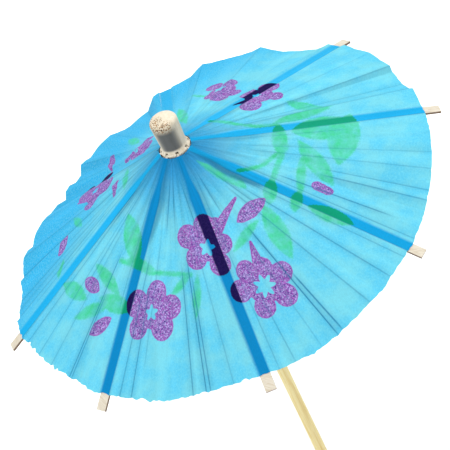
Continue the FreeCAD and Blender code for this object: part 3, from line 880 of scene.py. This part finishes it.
def side_columns(gap, side, edge_share):
    """Column places from the strip to the middle of the gap, with one exactly on each fold and crease."""
    even = np.linspace(0, 1, SIDE_COLUMNS + 1)
    marks = [share for share, _ in FOLDS[gap]] + [crease[0] for crease in CREASES[gap]]
    shares = [mark if side > 0 else 1 - mark for mark in marks]
    exact = [(share - edge_share) / (0.5 - edge_share) for share in shares]
    exact = [q for q in exact if 0.01 < q < 0.99]
    spare = 0.4 / SIDE_COLUMNS
    kept = [q for q in even if q in (0.0, 1.0) or all(abs(q - mark) > spare for mark in exact)]
    return np.array(sorted(set(kept + exact)))


def side_piece(index, side, material):
    """The free tissue on one side of a rib, as far as the middle of the gap."""
    rib, other = ribs[index], ribs[(index + side) % 8]
    gap = index if side > 0 else (index - 1) % 8
    gap_angle = gap_after(gap)
    rim_radius = hinge_radius + PAPER_END * math.cos(rib["slope"])
    rim_edge_share = math.atan2(STRIP_HALF_WIDTH_AT_RIM, rim_radius) / gap_angle
    q = side_columns(gap, side, rim_edge_share)[None, :]
    along = np.linspace(PAPER_START, PAPER_END, ROWS)[:, None] * np.ones(q.shape)
    width = strip_half_width(index, side, along)
    lift_radius = PAPER_LIFT * math.sin(rib["slope"])
    edge_radius = hinge_radius + along * math.cos(rib["slope"]) + lift_radius
    edge_share = np.arctan2(width, edge_radius) / gap_angle

    def on_cone(share, along, height):
        slope = rib["slope"] + (other["slope"] - rib["slope"]) * smooth(share)
        return cone_point(rib["bearing"] + side * gap_angle * share, slope, along, PAPER_LIFT + height)

    share = edge_share + (0.5 - edge_share) * q
    bearing = rib["bearing"] + side * gap_angle * share
    edge_bearing = rib["bearing"] + side * gap_angle * edge_share
    long_along = stretched(along, bearing)
    edge_along = stretched(along, edge_bearing)
    rim_share = rim_edge_share + (0.5 - rim_edge_share) * q
    fold_share = rim_share if side > 0 else 1 - rim_share
    height = fold_height(gap, fold_share, along)
    start = on_cone(edge_share, edge_along, 0.0)
    glued = rib_point(index, edge_along, side * width, np.full(along.shape, PAPER_LIFT))
    points = on_cone(share, long_along, height) + (glued - start) * ((1 - q) ** 2)[..., None]
    fold_share = fold_share * np.ones(along.shape)
    fields = print_fields(index, points, long_along, bearing, gap, fold_share, gap_angle)
    end = "right" if side > 0 else "left"
    piece = sheet_mesh(f"canopy_fold_{index + 1}_{end}", points, fields, material)
    return piece, points, gap_angle


def turned_back(index, point):
    """Where a point of the closed parasol is when its rib is turned back to rest."""
    rib = ribs[index]
    hinge = Vector(rib["hinge"])
    axis = Vector(joints[f"rib_hinge_{index + 1}"]["axis"])
    swing = CLOSED_SLOPE - rib["slope"]
    return np.array(hinge + Matrix.Rotation(-swing, 3, axis) @ (Vector(point) - hinge))


def gather(piece, index, side, points, gap_angle):
    """Works out how far a side piece's middle would move, across its glued edge, to meet its neighbour when the
    rib is closed, and gives the piece its own mesh. The move is not applied, so the piece does not fold.
    """
    edge = points[-1, 0] - points[0, 0]
    edge /= np.linalg.norm(edge)
    row = int(GATHER_ROW_SHARE * ROWS)
    open_middle = points[row, -1]
    along = np.linspace(PAPER_START, PAPER_END, ROWS)[row]
    bearing = np.float64(ribs[index]["bearing"] + side * gap_angle / 2)
    slope = np.float64(CLOSED_SLOPE)
    closed_middle = turned_back(index, cone_point(bearing, slope, along, PAPER_LIFT))
    move = closed_middle - open_middle
    move -= (move @ edge) * edge
    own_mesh(piece)


def make_canopy(material):
    for index in RIBS:
        number = index + 1
        strip = strip_piece(index, material)
        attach(strip, f"rib_{number}")
        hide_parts(f"canopy_panel_{number}")
        for side in (-1, 1):
            piece, points, gap_angle = side_piece(index, side, material)
            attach(piece, f"rib_{number}")
            gather(piece, index, side, points, gap_angle)
            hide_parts(f"canopy_panel_{number}")


def paint_cad():
    finishes = {
        "stick": bamboo(),
        "finial": turned_wood(),
        "hub_thread": thread(),
        "newsprint_roll": newsprint(),
        "retaining_ring": ring_plastic(),
        "rib": splint(),
        "rib_pin": pin_wire(),
    }
    finishes["runner"] = finishes["finial"]
    finishes["runner_thread"] = finishes["hub_thread"]
    finishes["strut"] = finishes["rib"]
    finishes["strut_tie"] = finishes["hub_thread"]
    for name, node in frame["nodes"].items():
        kind = name.rstrip("0123456789").rstrip("_")
        if kind in finishes:
            node.data.materials.clear()
            node.data.materials.append(finishes[kind])


make_camera()
make_stage()
paint_cad()
make_canopy(tissue())
